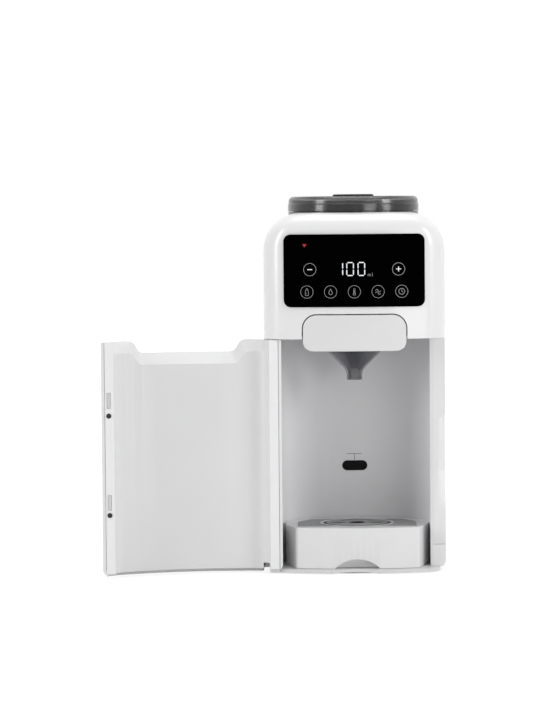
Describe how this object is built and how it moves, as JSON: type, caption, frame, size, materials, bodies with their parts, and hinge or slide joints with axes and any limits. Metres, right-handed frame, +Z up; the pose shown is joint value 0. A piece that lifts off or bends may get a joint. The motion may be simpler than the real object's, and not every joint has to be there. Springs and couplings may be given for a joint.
{
  "type": "baby formula maker",
  "caption": "Counter-top baby formula maker: swing door, funnel drawer, powder hopper with lid, water tank, drip tray, dosing drive and water circuit.",
  "frame": {"origin": "on the counter, under the middle of the casing's footprint, on the middle foot pad's face", "axes": "+X to the right seen from the front, +Y to the back, +Z up; panel, drawer and bay face -Y"},
  "size_m": [0.3601, 0.3238, 0.3998],
  "materials": {
    "casing": "white gloss",
    "liner": "light grey satin",
    "panel": "black gloss",
    "grey": "satin",
    "dark": "dark gloss",
    "smoke": "clear smoke",
    "clear": "clear",
    "rubber": "matte",
    "silicone": "satin",
    "steel": "brushed",
    "board": "satin",
    "nylon": "satin"
  },
  "bodies": {
    "casing": {"base_plate": "liner", "foot_ring": "rubber", "base_tub": "casing", "main_housing": "casing", "rear_cover": "casing", "power_inlet": "dark", "cavity_liner": "liner", "head_cover": "casing", "head_base": "liner", "drawer_rails": "liner", "control_panel": "panel", "touch_board": "board", "display_module": "dark", "touch_pads": "steel", "sensor_window": "dark", "sensor_board": "board", "main_board": "board", "power_board": "board", "catch_plates": "steel", "hinge_pins": "steel", "dosing_motor": "steel", "dosing_base": "grey", "shaft_bush": "nylon", "tank_shelf": "grey", "tank_seat": "grey", "seat_seal": "silicone", "water_pump": "dark", "heater": "steel", "hose_inlet": "silicone", "hose_link": "silicone", "hose_outlet": "silicone", "water_nozzle": "nylon", "base_screws": "steel", "rear_screws": "steel"},
    "door": {"door_shell": "casing", "door_liner": "liner", "door_magnets": "steel", "door_bumpers": "rubber"},
    "drawer": {"drawer_front": "casing", "funnel_holder": "liner", "funnel": "smoke"},
    "drive": {"drive_gear": "nylon", "drive_shaft": "steel", "dosing_wheel": "nylon"},
    "pinion": {"motor_pinion": "nylon"},
    "hopper": {"hopper": "smoke"},
    "stirrer": {"stirrer": "nylon"},
    "lid": {"hopper_lid": "smoke", "lid_knob": "dark", "lid_seal": "silicone"},
    "tank": {"water_tank": "clear", "valve_cage": "nylon", "tank_lid_pin": "steel"},
    "valve": {"valve_plunger": "nylon", "valve_spring": "steel"},
    "tank_lid": {"tank_lid": "casing"},
    "tray": {"drip_tray": "casing"},
    "grille": {"tray_cover": "liner", "drip_grille": "grey", "grille_disc": "liner"}
  },
  "joints": [
    {"name": "door_swing", "type": "hinge", "parent": "casing", "child": "door", "pos_m": [-0.0875, -0.124, 0.12], "axis": [0, 0, -1], "range_deg": [-168, 0]},
    {"name": "drawer_slide", "type": "slide", "parent": "casing", "child": "drawer", "axis": [0, -1, 0], "range_m": [0, 0.09]},
    {"name": "dosing_spin", "type": "hinge", "parent": "casing", "child": "drive", "pos_m": [0, -0.062, 0.28], "axis": [0, 0, 1], "continuous": true},
    {"name": "pinion_spin", "type": "hinge", "parent": "casing", "child": "pinion", "pos_m": [0.01834, -0.03676, 0.273], "axis": [0, 0, 1], "continuous": true},
    {"name": "hopper_lift", "type": "slide", "parent": "casing", "child": "hopper", "axis": [0, 0, 1], "range_m": [0, 0.15]},
    {"name": "stirrer_spin", "type": "hinge", "parent": "hopper", "child": "stirrer", "pos_m": [0, -0.062, 0.31], "axis": [0, 0, 1], "continuous": true},
    {"name": "lid_lift", "type": "slide", "parent": "hopper", "child": "lid", "axis": [0, 0, 1], "range_m": [0, 0.06]},
    {"name": "tank_lift", "type": "slide", "parent": "casing", "child": "tank", "axis": [0, 0, 1], "range_m": [0, 0.17]},
    {"name": "tank_lid_swing", "type": "hinge", "parent": "tank", "child": "tank_lid", "pos_m": [0, 0.1388, 0.3788], "axis": [-1, 0, 0], "range_deg": [0, 95]},
    {"name": "valve_slide", "type": "slide", "parent": "tank", "child": "valve", "axis": [0, 0, 1], "range_m": [0, 0.002], "stiffness_N_per_m": 200, "springref_m": -0.003, "deforming": ["valve_spring"]},
    {"name": "tray_slide", "type": "slide", "parent": "casing", "child": "tray", "axis": [0, -1, 0], "range_m": [0, 0.12]},
    {"name": "grille_lift", "type": "slide", "parent": "tray", "child": "grille", "axis": [0, 0, 1], "range_m": [0, 0.05]}
  ],
  "couplings": [
    {"joint": "pinion_spin", "follows": "dosing_spin", "ratio": -3.3333},
    {"joint": "stirrer_spin", "follows": "dosing_spin", "ratio": 1}
  ]
}
